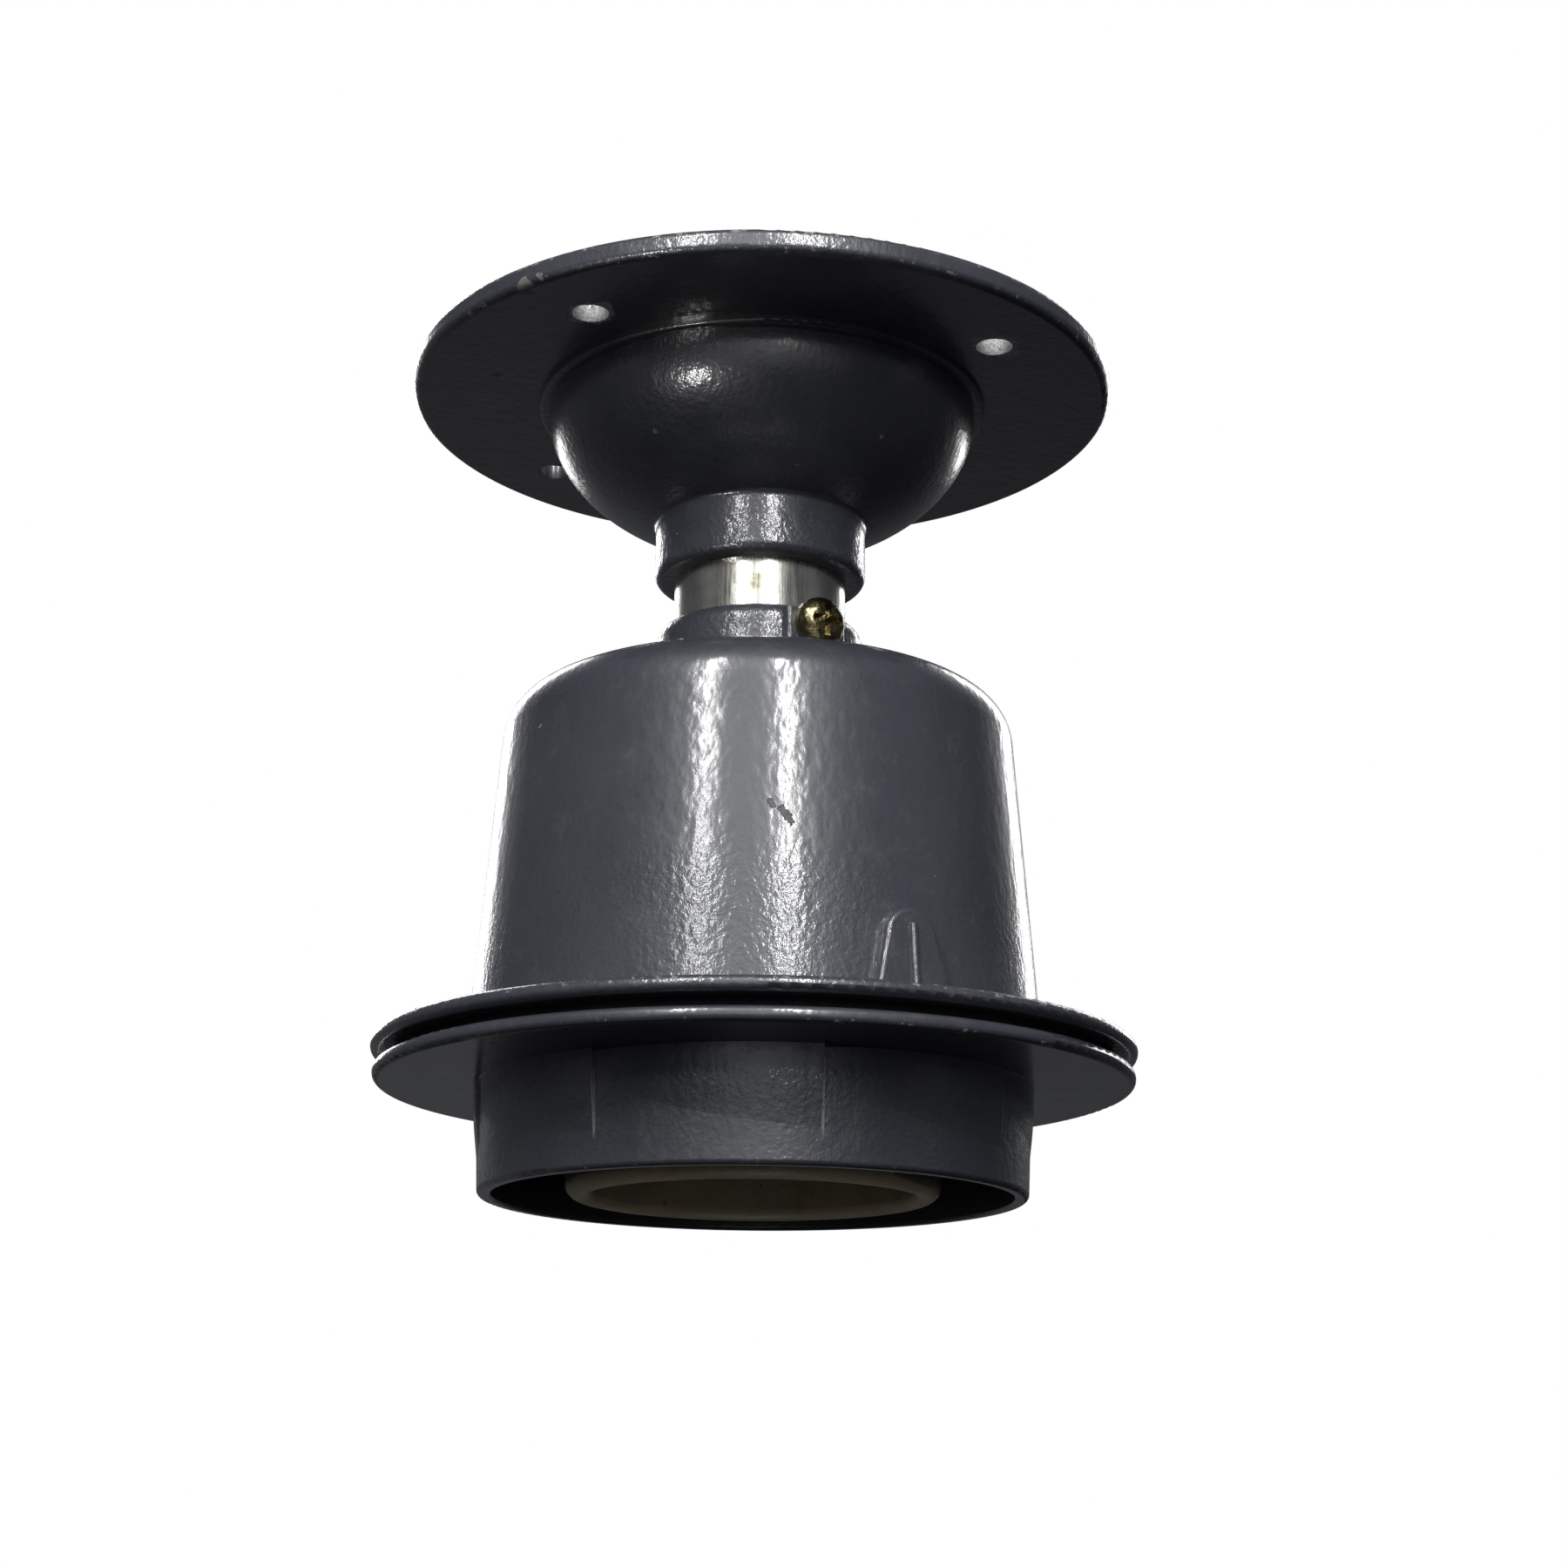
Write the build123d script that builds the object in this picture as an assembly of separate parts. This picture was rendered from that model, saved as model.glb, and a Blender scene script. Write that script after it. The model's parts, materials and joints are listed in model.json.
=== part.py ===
from build123d import *
import os
from math import cos, radians, sin

# Ceiling lamp head: a canopy, a short support tube and a bell that holds a large porcelain
# lampholder, with a screwed press ring that clamps a shade under the bell's flange.
# Millimetres. The origin is the centre of the ceiling face; everything hangs below it along -Z.
# Profiles are drawn with x as the radius and y as the height, and are spun about Z.
# Bearings count from -Y, the front, towards +X.

# Canopy
plate_radius = 55.7
plate_thickness = 3.8
plate_recess = 1.8
plate_rim_width = 2.6
rim_round = 1.3
mount_circle_radius = 43.5
mount_hole_radius = 2.8
mount_hole_bearing = -36
mount_hole_count = 4
mount_boss_radius = 6.0
step_radius = 35.7
step_bottom = -5.1
dome_radius = 34.1
dome_depth = 21.6
canopy_wall = 3.0
nut_seat = -18.0
collar_radius = 16.6
collar_bottom = -33.5
collar_round = 1.5

# Support tube, G 3/4 pipe thread at both ends, drawn as plain cylinders
tube_radius = 13.45
thread_radius = 13.22
tube_bore = 10.85
tube_top = -10.0
tube_bottom = -64.5
running_gap = 0.05
nut_height = 5.0
nut_chamfer_slope = 0.58
nut_flats = 32.0
washer_radius = 19.0
washer_height = 1.5

# Bell
neck_radius = 16.1
neck_top = -41.4
neck_round = 2.4
crown_top = -52.6
crown_edge = -53.25
crown_under = -57.0
wall_top_radius = 38.8
wall_bottom_radius = 43.1
shoulder_round = 8.0
wall_thickness = 3.4
flange_top = -107.6
flange_bottom = -109.9
flange_radius = 57.1
flange_round = 1.1
ring_thread_radius = 39.7
ring_thread_top = -99.5
rib_bearing = 29
rib_top = -94.3
rib_width_bottom = 12.6
rib_width_top = 8.4
rib_height = 2.2
bead_radius = 0.65
bead_top = -97.0
pad_bearing = 31
pad_face = 17.0
pad_width = 10.4

# Screw sizes
m4_radius = 2.0
m4_head_radius = 4.0
m4_head_height = 2.8
m3_radius = 1.5
clamp_screw_height = -44.9
clamp_tip = 13.27

# Shade clamp
gasket_bottom = -111.6
gasket_outer = 53.6
gasket_inner = 40.5
ring_flange_bottom = -113.8
ring_flange_radius = 56.7
ring_neck_radius = 39.6
ring_neck_bore = 37.2
ring_neck_top = -101.0
skirt_top_radius = 41.35
skirt_bottom_radius = 40.7
skirt_bore = 38.6
mouth = -130.1
grip_count = 8
grip_bearing = 13
grip_bottom = -126.0
grip_rise = 0.5
grip_knee = 6.0
grip_knee_drop = 0.1
skirt_corner = 0.5

# Lampholder, E40
bracket_top = -72.0
bracket_thickness = 2.0
bracket_length = 71.0
bracket_width = 16.0
boss_distance = 31.5
boss_radius = 4.8
boss_web_end = 38.2
holder_top = bracket_top - bracket_thickness
holder_radius = 27.8
holder_head_radius = 24.5
holder_shoulder = -86.0
holder_mouth_radius = 24.0
mouth_depth = 11.5
shell_room = 21.0
terminal_floor = -83.0
cavity_top = -92.0
shell_crest = 18.2
shell_thickness = 0.7
shell_wave = 0.9
shell_pitch = 6.35
shell_turns = 4
shell_flange_bore = 9.0
holder_screw_distance = 15.5
rivet_distance = 15.0
pocket_near = 9.5
pocket_far = 26.0
pocket_half_width = 6.5
nut_slot_near = 11.2
nut_slot_half_width = 3.7
nut_slot_top = 4.4
nut_slot_bottom = 8.4
holder_screw_clearance = 2.2
strip_pocket_half_width = 3.6
rivet_angles = (225, 315)
rivet_shank = 1.5
rivet_head = 2.8
rivet_recess = 5.0
terminal_distance = 16.0
terminal_screw_offset = 3.0
terminal_side = 8.0
terminal_height = 8.0
earth_distance = 27.5
earth_boss_bottom = -62.0

# Centre contact and its spring
contact_radius = 4.4
contact_nose = -96.0
contact_shoulder = -90.6
contact_hole = 4.6
stem_radius = 1.5
stem_head_radius = 2.4
strip_thickness = 1.2
spring_radius = 3.2
spring_wire = 0.7
spring_turns = 4


def band(inner, outer, low, high):
    """A rectangle in the radius and height plane."""
    return Pos((inner + outer) / 2, (low + high) / 2) * Rectangle(outer - inner, high - low)


def outline_face(points):
    """A flat face inside a closed outline."""
    return make_face(Polyline(*points, close=True))


def spun(profile):
    """A solid of revolution about Z."""
    return revolve(Plane.XZ * profile, Axis.Z)


def rounded(profile, corner, radius):
    """Rounds the profile's corner nearest to a radius and height."""
    point = Vector(corner[0], corner[1])
    nearest = min(profile.vertices(), key=lambda v: (Vector(v.X, v.Y) - point).length)
    return fillet(nearest, radius)


def rod(radius, low, high):
    """An upright cylinder between two heights."""
    return Pos(0, 0, (low + high) / 2) * Cylinder(radius, high - low)


def block(x_low, x_high, y_low, y_high, z_low, z_high):
    """A box between two corners."""
    middle = ((x_low + x_high) / 2, (y_low + y_high) / 2, (z_low + z_high) / 2)
    return Pos(*middle) * Box(x_high - x_low, y_high - y_low, z_high - z_low)


def at_bearing(bearing, part):
    """Turns a part made on the front side, -Y, to a bearing."""
    return Rot(0, 0, bearing) * part


def wall_radius(height):
    """The bell's outer wall radius at a height."""
    share = (height - crown_edge) / (flange_top - crown_edge)
    return wall_top_radius + share * (wall_bottom_radius - wall_top_radius)


def one(shape):
    """The single solid of a shape."""
    return shape.solids().sort_by(SortBy.VOLUME)[-1]


def hex_nut(flats, height, bore):
    """A nut standing on z = 0, with chamfered corners."""
    body = extrude(RegularPolygon(flats / 2, 6, major_radius=False), height)
    corner = flats / 2 / cos(radians(30))
    drop = (corner - flats / 2) * nut_chamfer_slope
    cone = spun(outline_face([
        (0, 0), (flats / 2, 0), (corner, drop), (corner, height - drop), (flats / 2, height), (0, height),
    ]))
    return (body & cone) - Pos(0, 0, height / 2) * Cylinder(bore, height * 2)


def pan_screw(shank_radius, head_radius, head_height, length):
    """A cross-recessed pan head screw: its head sits on z = 0 and its shank points down."""
    head = band(0, head_radius, 0, head_height)
    head = rounded(head, (head_radius, head_height), head_height * 0.75)
    screw = spun(head) + rod(shank_radius, -length, 0)
    wing = head_radius * 1.25
    slot = Pos(0, 0, head_height) * Box(wing, head_radius * 0.3, head_height * 1.1)
    return screw - slot - Rot(0, 0, 90) * slot


def ceiling_canopy():
    """Cast plate, dome and collar in one, hollow from the ceiling side."""
    rim = rounded(band(0, plate_radius, -plate_thickness, 0), (plate_radius, 0), rim_round)
    rim = rounded(rim, (plate_radius, -plate_thickness), rim_round)
    step = rounded(band(0, step_radius, step_bottom, -1), (step_radius, step_bottom), 0.7)
    dome = (Pos(0, step_bottom) * Ellipse(dome_radius, dome_depth)) & band(0, 60, -60, step_bottom)
    collar = band(0, collar_radius, collar_bottom, step_bottom)
    outer = rim + step + dome + collar
    dome_end = step_bottom - dome_depth * (1 - (collar_radius / dome_radius) ** 2) ** 0.5
    outer = rounded(outer, (collar_radius, dome_end), 1.0)
    outer = rounded(outer, (collar_radius, collar_bottom), collar_round)
    hollow = Pos(0, step_bottom) * Ellipse(dome_radius - canopy_wall, dome_depth - canopy_wall)
    hollow = hollow & band(0, 60, nut_seat, step_bottom)
    throat = band(0, dome_radius - canopy_wall, step_bottom, 1)
    back = band(0, plate_radius - plate_rim_width, -plate_recess, 1)
    bore = band(0, thread_radius, collar_bottom - 1, nut_seat + 1)
    canopy = spun(outer - hollow - throat - back - bore)
    for index in range(mount_hole_count):
        bearing = mount_hole_bearing + index * 360 / mount_hole_count
        spot = Pos(0, -mount_circle_radius, 0)
        canopy += at_bearing(bearing, spot * rod(mount_boss_radius, -plate_thickness + 1, 0))
        canopy -= at_bearing(bearing, spot * rod(mount_hole_radius, -plate_thickness - 1, 1))
    return canopy


def support_tube():
    """Pipe with its full width in the gap and thread at both ends."""
    outline = band(tube_bore, thread_radius, tube_bottom, tube_top)
    outline += band(tube_bore, tube_radius, neck_top, collar_bottom)
    return spun(outline)


def tube_upper_nut():
    """Locks the tube in the canopy's collar."""
    return Pos(0, 0, nut_seat) * hex_nut(nut_flats, nut_height, thread_radius)


def head_washer():
    """The plain washer the bell turns on."""
    outline = band(thread_radius, washer_radius, crown_under - washer_height, crown_under)
    return spun(outline)


def tube_lower_nut():
    """Carries the bell through the washer."""
    seat = crown_under - washer_height - nut_height
    return Pos(0, 0, seat) * hex_nut(nut_flats, nut_height, thread_radius)


def bell_outline():
    """Half section of the bell without its bore: neck, domed crown, drafted wall and flange."""
    outside = outline_face([
        (0, neck_top), (neck_radius, neck_top), (neck_radius, crown_top),
        (wall_top_radius, crown_edge), (wall_bottom_radius, flange_top),
        (flange_radius, flange_top), (flange_radius, flange_bottom), (0, flange_bottom),
    ])
    outside = rounded(outside, (neck_radius, neck_top), neck_round)
    outside = rounded(outside, (neck_radius, crown_top), 1.2)
    outside = rounded(outside, (wall_top_radius, crown_edge), shoulder_round)
    outside = rounded(outside, (wall_bottom_radius, flange_top), 0.8)
    outside = rounded(outside, (flange_radius, flange_top), flange_round)
    return rounded(outside, (flange_radius, flange_bottom), flange_round)


def bell_hollow():
    """Half section of the bell's cavity, with the wide threaded stretch at its mouth."""
    slope_top = wall_radius(crown_under) - wall_thickness
    slope_end = wall_radius(ring_thread_top) - wall_thickness
    cavity = outline_face([
        (0, crown_under), (slope_top, crown_under), (slope_end, ring_thread_top),
        (ring_thread_radius, ring_thread_top), (ring_thread_radius, flange_bottom - 1),
        (0, flange_bottom - 1),
    ])
    return rounded(cavity, (slope_top, crown_under), shoulder_round - wall_thickness)


def wall_rib():
    """The tapered rib with an arched top that stands on the front of the bell's wall."""
    half_low = rib_width_bottom / 2
    half_high = rib_width_top / 2
    shoulder = rib_top - half_high
    outline = outline_face([
        (-half_low, flange_top), (half_low, flange_top), (half_high, shoulder),
        (-half_high, shoulder),
    ])
    outline += Pos(0, shoulder) * Circle(half_high)
    prism = extrude(Plane.XZ * outline, 50)
    skin = outline_face([
        (0, flange_top), (wall_bottom_radius + rib_height, flange_top),
        (wall_radius(rib_top) + rib_height, rib_top), (0, rib_top),
    ])
    core = band(0, wall_radius(rib_top) - 1, flange_top, rib_top)
    rib = prism & spun(skin - core)
    front = rib.faces().sort_by(Axis.Y)[0]
    rib = fillet(front.edges().filter_by(lambda e: e.center().Z > flange_top + 0.5), 0.8)
    low = Vector(0, -wall_bottom_radius - rib_height, flange_top)
    high = Vector(0, -wall_radius(bead_top) - rib_height, bead_top)
    line = Plane(origin=low, z_dir=high - low)
    bead = line * extrude(Circle(bead_radius), (high - low).length)
    return rib + bead + Pos(*high) * Sphere(bead_radius)


def bell_housing():
    """Cast bell: neck with a screw pad, crown with bosses, wall with a rib, and the upper flange."""
    bell = spun(bell_outline())
    pad = Pos(0, 0, crown_top) * Box(pad_width, 2 * pad_face, 2 * (neck_top - crown_top - 1.4))
    pad &= block(-pad_width, pad_width, -pad_face, 0, crown_under, neck_top)
    pad = fillet(pad.edges().filter_by(Axis.Z).group_by(Axis.Y)[0], 0.8)
    bell += at_bearing(pad_bearing, pad)
    bell -= spun(bell_hollow())
    bell -= rod(thread_radius + running_gap, crown_under - 5, neck_top + 5)
    bell += at_bearing(rib_bearing, wall_rib())
    for side in (-1, 1):
        bell += Pos(side * boss_distance, 0, 0) * rod(boss_radius, bracket_top, crown_under + 1)
        web = sorted((side * boss_distance, side * boss_web_end))
        bell += block(*web, -2.2, 2.2, bracket_top, crown_under - 3)
        bell -= Pos(side * boss_distance, 0, 0) * rod(m4_radius, bracket_top - 1, bracket_top + 9)
    bell += Pos(0, earth_distance, 0) * rod(boss_radius, earth_boss_bottom, crown_under + 1)
    bell -= Pos(0, earth_distance, 0) * rod(m4_radius, earth_boss_bottom - 1, crown_under - 0.5)
    hole = Pos(0, -15, clamp_screw_height) * Rot(90, 0, 0) * Cylinder(m4_radius + running_gap, 10)
    return bell - at_bearing(pad_bearing, hole)


def clamp_screw():
    """Brass-coloured screw in the neck's pad that pinches the tube."""
    screw = pan_screw(m4_radius, m4_head_radius, m4_head_height + 0.3, pad_face - clamp_tip)
    return at_bearing(pad_bearing, Pos(0, -pad_face, clamp_screw_height) * Rot(90, 0, 0) * screw)


def earth_screw():
    """Earth terminal screw under the crown."""
    screw = Rot(180, 0, 0) * pan_screw(m4_radius, m4_head_radius, m4_head_height, 5.0)
    return Pos(0, earth_distance, earth_boss_bottom - 0.8) * screw


def earth_washer():
    """Washer that traps the earth wire."""
    ring = rod(4.6, earth_boss_bottom - 0.8, earth_boss_bottom)
    ring -= rod(m4_radius, earth_boss_bottom - 2, earth_boss_bottom + 1)
    return Pos(0, earth_distance, 0) * ring


def shade_gasket():
    """Flat rubber ring between the two flanges."""
    return spun(band(gasket_inner, gasket_outer, gasket_bottom, flange_bottom))


def skirt_radius(height):
    """The skirt's outer radius at a height."""
    slope = (skirt_top_radius - skirt_bottom_radius) / (ring_flange_bottom - mouth)
    return skirt_top_radius - slope * (ring_flange_bottom - height)


def grip_tooth():
    """One eighth of the skirt's grip: thickest at the front, fading out downwards and to the left."""
    step = 360 / grip_count
    shift = grip_rise / (1 - cos(radians(step)))
    shrink = shift - grip_rise
    knee = grip_bottom + grip_knee
    knee_radius = skirt_radius(knee) - shrink - grip_knee_drop
    top = flange_bottom
    swell = outline_face([
        (0, top), (skirt_top_radius - shrink, top), (skirt_top_radius - shrink, ring_flange_bottom),
        (knee_radius, knee), (skirt_radius(grip_bottom) - shift - grip_knee_drop, grip_bottom),
        (0, grip_bottom),
    ])
    swell = Pos(0, -shift, 0) * spun(rounded(swell, (knee_radius, knee), 40.0))
    far = 2 * skirt_top_radius
    wedge = extrude(outline_face([
        (0, 0), (0, -far), (-far * sin(radians(step)), -far * cos(radians(step))),
    ]), 60)
    tooth = swell & Pos(0, 0, mouth) * wedge
    tooth &= rod(far, grip_bottom - 1, ring_flange_bottom + 0.5)
    return tooth - rod(skirt_bore + 0.8, mouth, flange_bottom)


def press_ring():
    """Threaded neck, clamping flange and gripped skirt in one casting."""
    outline = band(ring_neck_bore, ring_neck_radius, gasket_bottom - 1, ring_neck_top)
    outline += rounded(rounded(
        band(ring_neck_bore, ring_flange_radius, ring_flange_bottom, gasket_bottom),
        (ring_flange_radius, ring_flange_bottom), 1.0), (ring_flange_radius, gasket_bottom), 1.0)
    skirt = outline_face([
        (skirt_bore, ring_flange_bottom), (skirt_top_radius, ring_flange_bottom),
        (skirt_bottom_radius, mouth), (skirt_bore, mouth),
    ])
    skirt = rounded(skirt, (skirt_bottom_radius, mouth), 0.8)
    skirt = rounded(skirt, (skirt_bore, mouth), 0.5)
    section = rounded(outline + skirt, (skirt_top_radius, ring_flange_bottom), skirt_corner)
    ring = spun(section)
    for index in range(grip_count):
        ring += at_bearing(grip_bearing + index * 360 / grip_count, grip_tooth())
    return ring


def holder_bracket():
    """Flat steel strap across the top of the porcelain."""
    strap = Pos(0, 0, holder_top) * extrude(
        RectangleRounded(bracket_length, bracket_width, 5), bracket_thickness)
    for distance in (boss_distance, holder_screw_distance):
        for side in (-1, 1):
            strap -= Pos(side * distance, 0, 0) * rod(m4_radius, holder_top - 1, bracket_top + 1)
    return strap


def both_sides(distance, part):
    """The same part at +X and -X."""
    return Compound(children=[one(Pos(side * distance, 0, 0) * part) for side in (-1, 1)])


def bracket_screws():
    """Two screws that hold the strap to the bell, driven from below."""
    screw = Rot(180, 0, 0) * pan_screw(m4_radius, m4_head_radius, m4_head_height, 9.0)
    return both_sides(boss_distance, Pos(0, 0, holder_top - 0.9) * screw)


def bracket_washers():
    """Washers under those screws."""
    ring = rod(m4_head_radius + 0.3, holder_top - 0.9, holder_top)
    return both_sides(boss_distance, ring - rod(m4_radius, holder_top - 2, holder_top + 1))


def holder_screws():
    """Two screws down through the strap into the porcelain's nuts."""
    screw = pan_screw(m4_radius, m4_head_radius - 0.5, m4_head_height, 12.0)
    return both_sides(holder_screw_distance, Pos(0, 0, bracket_top) * screw)


def holder_nuts():
    """Nuts in the porcelain's side slots."""
    nut = Pos(0, 0, holder_top - 8.0) * hex_nut(7.0, 3.2, m4_radius)
    return both_sides(holder_screw_distance, nut)


def rivet_spots():
    """Where the screw shell's rivets stand."""
    angles = [radians(angle) for angle in rivet_angles]
    return [Pos(rivet_distance * cos(a), rivet_distance * sin(a), 0) for a in angles]


def lampholder_body():
    """Porcelain body: wide mouth, room for the screw shell, and terminal pockets on top."""
    outer = outline_face([
        (0, holder_top), (holder_head_radius, holder_top), (holder_head_radius, holder_shoulder),
        (holder_radius, holder_shoulder - 3), (holder_radius, mouth), (0, mouth),
    ])
    outer = rounded(outer, (holder_head_radius, holder_top), 1.5)
    inner = band(0, shell_room, mouth, cavity_top)
    inner += band(0, holder_mouth_radius, mouth - 1, mouth + mouth_depth)
    inner = rounded(inner, (holder_mouth_radius, mouth + mouth_depth), 2.0)
    section = outer - inner
    section = rounded(section, (holder_radius, mouth), 2.0)
    section = rounded(section, (holder_mouth_radius, mouth), 1.6)
    body = spun(section)
    for side in (-1, 1):
        near, far = sorted((side * pocket_near, side * pocket_far))
        body -= block(-pocket_half_width, pocket_half_width, near, far, terminal_floor, holder_top + 1)
        near, far = sorted((side * nut_slot_near, side * pocket_far))
        body -= block(near, far, -nut_slot_half_width, nut_slot_half_width,
                      holder_top - nut_slot_bottom, holder_top - nut_slot_top)
        spot = Pos(side * holder_screw_distance, 0, 0)
        body -= spot * rod(holder_screw_clearance, holder_top - 11, holder_top + 1)
    half = strip_pocket_half_width
    body -= block(-half, half, -pocket_near - 0.1, half, terminal_floor, holder_top + 1)
    body -= rod(contact_hole, cavity_top - 1, terminal_floor)
    spot = Pos(0, terminal_distance - terminal_screw_offset, 0)
    body -= spot * rod(m3_radius + 0.3, cavity_top - 1, terminal_floor + 1)
    for spot in rivet_spots():
        body -= spot * rod(rivet_shank + 0.1, cavity_top - 1, holder_top + 1)
        body -= spot * rod(rivet_head + 0.4, holder_top - rivet_recess, holder_top + 1)
    return body


def screw_shell():
    """Thin rolled shell that takes the lamp's cap, with a flange riveted to the porcelain."""
    crest = shell_crest + shell_wave
    quarter = shell_pitch / 4
    low = cavity_top - 1.0 - shell_turns * shell_pitch
    points = []
    for index in range(4 * shell_turns + 1):
        swing = sin(radians(90 * index))
        points.append((crest + shell_wave * swing, low + index * quarter))
    wave = Spline(*points)
    outer = Pos(shell_thickness, 0) * wave
    rims = [Line(wave @ 0, outer @ 0), Line(wave @ 1, outer @ 1)]
    wall = make_face([wave, outer] + rims)
    flange = band(shell_flange_bore, crest + shell_thickness, cavity_top - 1.0, cavity_top)
    shell = spun(wall + flange)
    spot = Pos(0, terminal_distance - terminal_screw_offset, 0)
    shell -= spot * rod(m3_radius, cavity_top - 2, cavity_top + 1)
    for spot in rivet_spots():
        shell -= spot * rod(rivet_shank, cavity_top - 2, cavity_top + 1)
    return shell


def shell_screw():
    """Screw from the shell's flange into its terminal."""
    screw = Rot(180, 0, 0) * pan_screw(m3_radius, 2.75, 1.8, 14.0)
    return Pos(0, terminal_distance - terminal_screw_offset, cavity_top - 1.0) * screw


def shell_rivets():
    """Two rivets that hold the shell's flange against the porcelain."""
    seat = holder_top - rivet_recess
    rivet = rod(rivet_shank, cavity_top - 1.0, seat)
    rivet += rod(rivet_head, cavity_top - 2.2, cavity_top - 1.0)
    rivet += rod(rivet_head, seat, seat + 1.2)
    return Compound(children=[one(spot * rivet) for spot in rivet_spots()])


def terminal_block():
    """Brass block on the pocket's floor at +Y, with a wire hole and a tapped hole."""
    half = terminal_side / 2
    top = terminal_floor + terminal_height
    body = block(-half, half, 9.8, terminal_distance + 6.5, terminal_floor, top)
    wire = Pos(0, terminal_distance + 4, terminal_floor + 3) * Rot(90, 0, 0) * Cylinder(1.7, 11)
    spot = Pos(0, terminal_distance + terminal_screw_offset, 0)
    screw_hole = spot * rod(m3_radius + 0.3, terminal_floor + 3, top + 1)
    return body - wire - screw_hole


def shell_terminal():
    """Terminal of the screw shell."""
    spot = Pos(0, terminal_distance - terminal_screw_offset, 0)
    tapped = spot * rod(m3_radius, terminal_floor - 1, holder_top + 1)
    return terminal_block() - tapped


def centre_terminal():
    """Terminal of the centre contact: a block and a strip that reaches over the contact."""
    body = Rot(0, 0, 180) * terminal_block()
    body += block(-3.2, 3.2, -10.5, 3.4, terminal_floor, terminal_floor + strip_thickness)
    return body - rod(stem_radius + running_gap, terminal_floor - 1, terminal_floor + 3)


def terminal_screws():
    """Two screws that pinch the supply wires."""
    screw = pan_screw(m3_radius + 0.3, 2.9, 2.0, 3.5)
    top = terminal_floor + terminal_height
    reach = terminal_distance + terminal_screw_offset
    screws = [one(Pos(0, side * reach, top) * screw) for side in (-1, 1)]
    return Compound(children=screws)


def centre_contact():
    """Sprung plunger that meets the lamp's tip, with its stem headed over above the strip."""
    nose = rounded(band(0, contact_radius, contact_nose, contact_shoulder),
                   (contact_radius, contact_nose), 1.6)
    strip_top = terminal_floor + strip_thickness
    return spun(nose + band(0, stem_radius, contact_shoulder, strip_top + 1.2)
                + band(0, stem_head_radius, strip_top, strip_top + 1.2))


def contact_spring():
    """Coil spring between the plunger's shoulder and the strip."""
    lift = spring_wire / 2 + 0.02
    height = terminal_floor - contact_shoulder - 2 * lift
    coil = Helix(height / spring_turns, height, spring_radius)
    section = Plane(origin=coil @ 0, z_dir=coil % 0) * Circle(spring_wire / 2)
    return Pos(0, 0, contact_shoulder + lift) * sweep(section, path=coil, is_frenet=True)


nodes = {
    "ceiling_canopy": ceiling_canopy,
    "support_tube": support_tube,
    "tube_upper_nut": tube_upper_nut,
    "head_washer": head_washer,
    "tube_lower_nut": tube_lower_nut,
    "bell_housing": bell_housing,
    "clamp_screw": clamp_screw,
    "earth_screw": earth_screw,
    "earth_washer": earth_washer,
    "shade_gasket": shade_gasket,
    "press_ring": press_ring,
    "holder_bracket": holder_bracket,
    "bracket_screws": bracket_screws,
    "bracket_washers": bracket_washers,
    "holder_screws": holder_screws,
    "holder_nuts": holder_nuts,
    "lampholder_body": lampholder_body,
    "screw_shell": screw_shell,
    "shell_screw": shell_screw,
    "shell_rivets": shell_rivets,
    "shell_terminal": shell_terminal,
    "centre_terminal": centre_terminal,
    "terminal_screws": terminal_screws,
    "centre_contact": centre_contact,
    "contact_spring": contact_spring,
}

os.makedirs("parts", exist_ok=True)
for name, make in nodes.items():
    export_step(make(), "parts/" + name + ".step")
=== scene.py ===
import json
from math import cos, radians, sin, tau

import bmesh
import bpy
from mathutils import Euler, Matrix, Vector


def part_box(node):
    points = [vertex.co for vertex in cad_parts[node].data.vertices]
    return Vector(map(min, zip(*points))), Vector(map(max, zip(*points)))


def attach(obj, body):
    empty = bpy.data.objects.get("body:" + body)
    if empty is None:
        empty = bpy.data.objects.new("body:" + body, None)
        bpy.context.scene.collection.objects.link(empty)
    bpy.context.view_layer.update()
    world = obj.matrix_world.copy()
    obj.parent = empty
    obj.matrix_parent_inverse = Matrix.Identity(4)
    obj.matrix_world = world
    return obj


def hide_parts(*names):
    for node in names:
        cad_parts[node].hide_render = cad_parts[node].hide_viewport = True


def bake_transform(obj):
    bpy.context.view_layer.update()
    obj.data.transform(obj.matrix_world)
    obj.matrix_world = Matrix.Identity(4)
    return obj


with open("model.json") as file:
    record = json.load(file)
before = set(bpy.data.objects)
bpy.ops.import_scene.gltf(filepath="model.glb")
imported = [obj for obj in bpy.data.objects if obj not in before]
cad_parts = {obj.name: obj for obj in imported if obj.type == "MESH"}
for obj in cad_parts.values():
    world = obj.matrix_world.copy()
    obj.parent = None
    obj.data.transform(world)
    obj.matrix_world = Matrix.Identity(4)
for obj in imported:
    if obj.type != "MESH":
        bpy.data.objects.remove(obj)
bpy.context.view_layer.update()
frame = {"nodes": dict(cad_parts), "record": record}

# The looks of the ceiling lamp head, in metres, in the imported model's own frame.
# Bearings count from -Y, the front, towards +X, in degrees. Marks are in millimetres.

MM = 0.001

# Camera
camera_distance = 388.6 * MM
camera_height = -176.9 * MM
camera_pitch = 15.94
camera_yaw = -0.6
camera_roll = 0.49
camera_lens = 60.0
camera_sensor = 36.0
camera_near = 10 * MM

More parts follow.
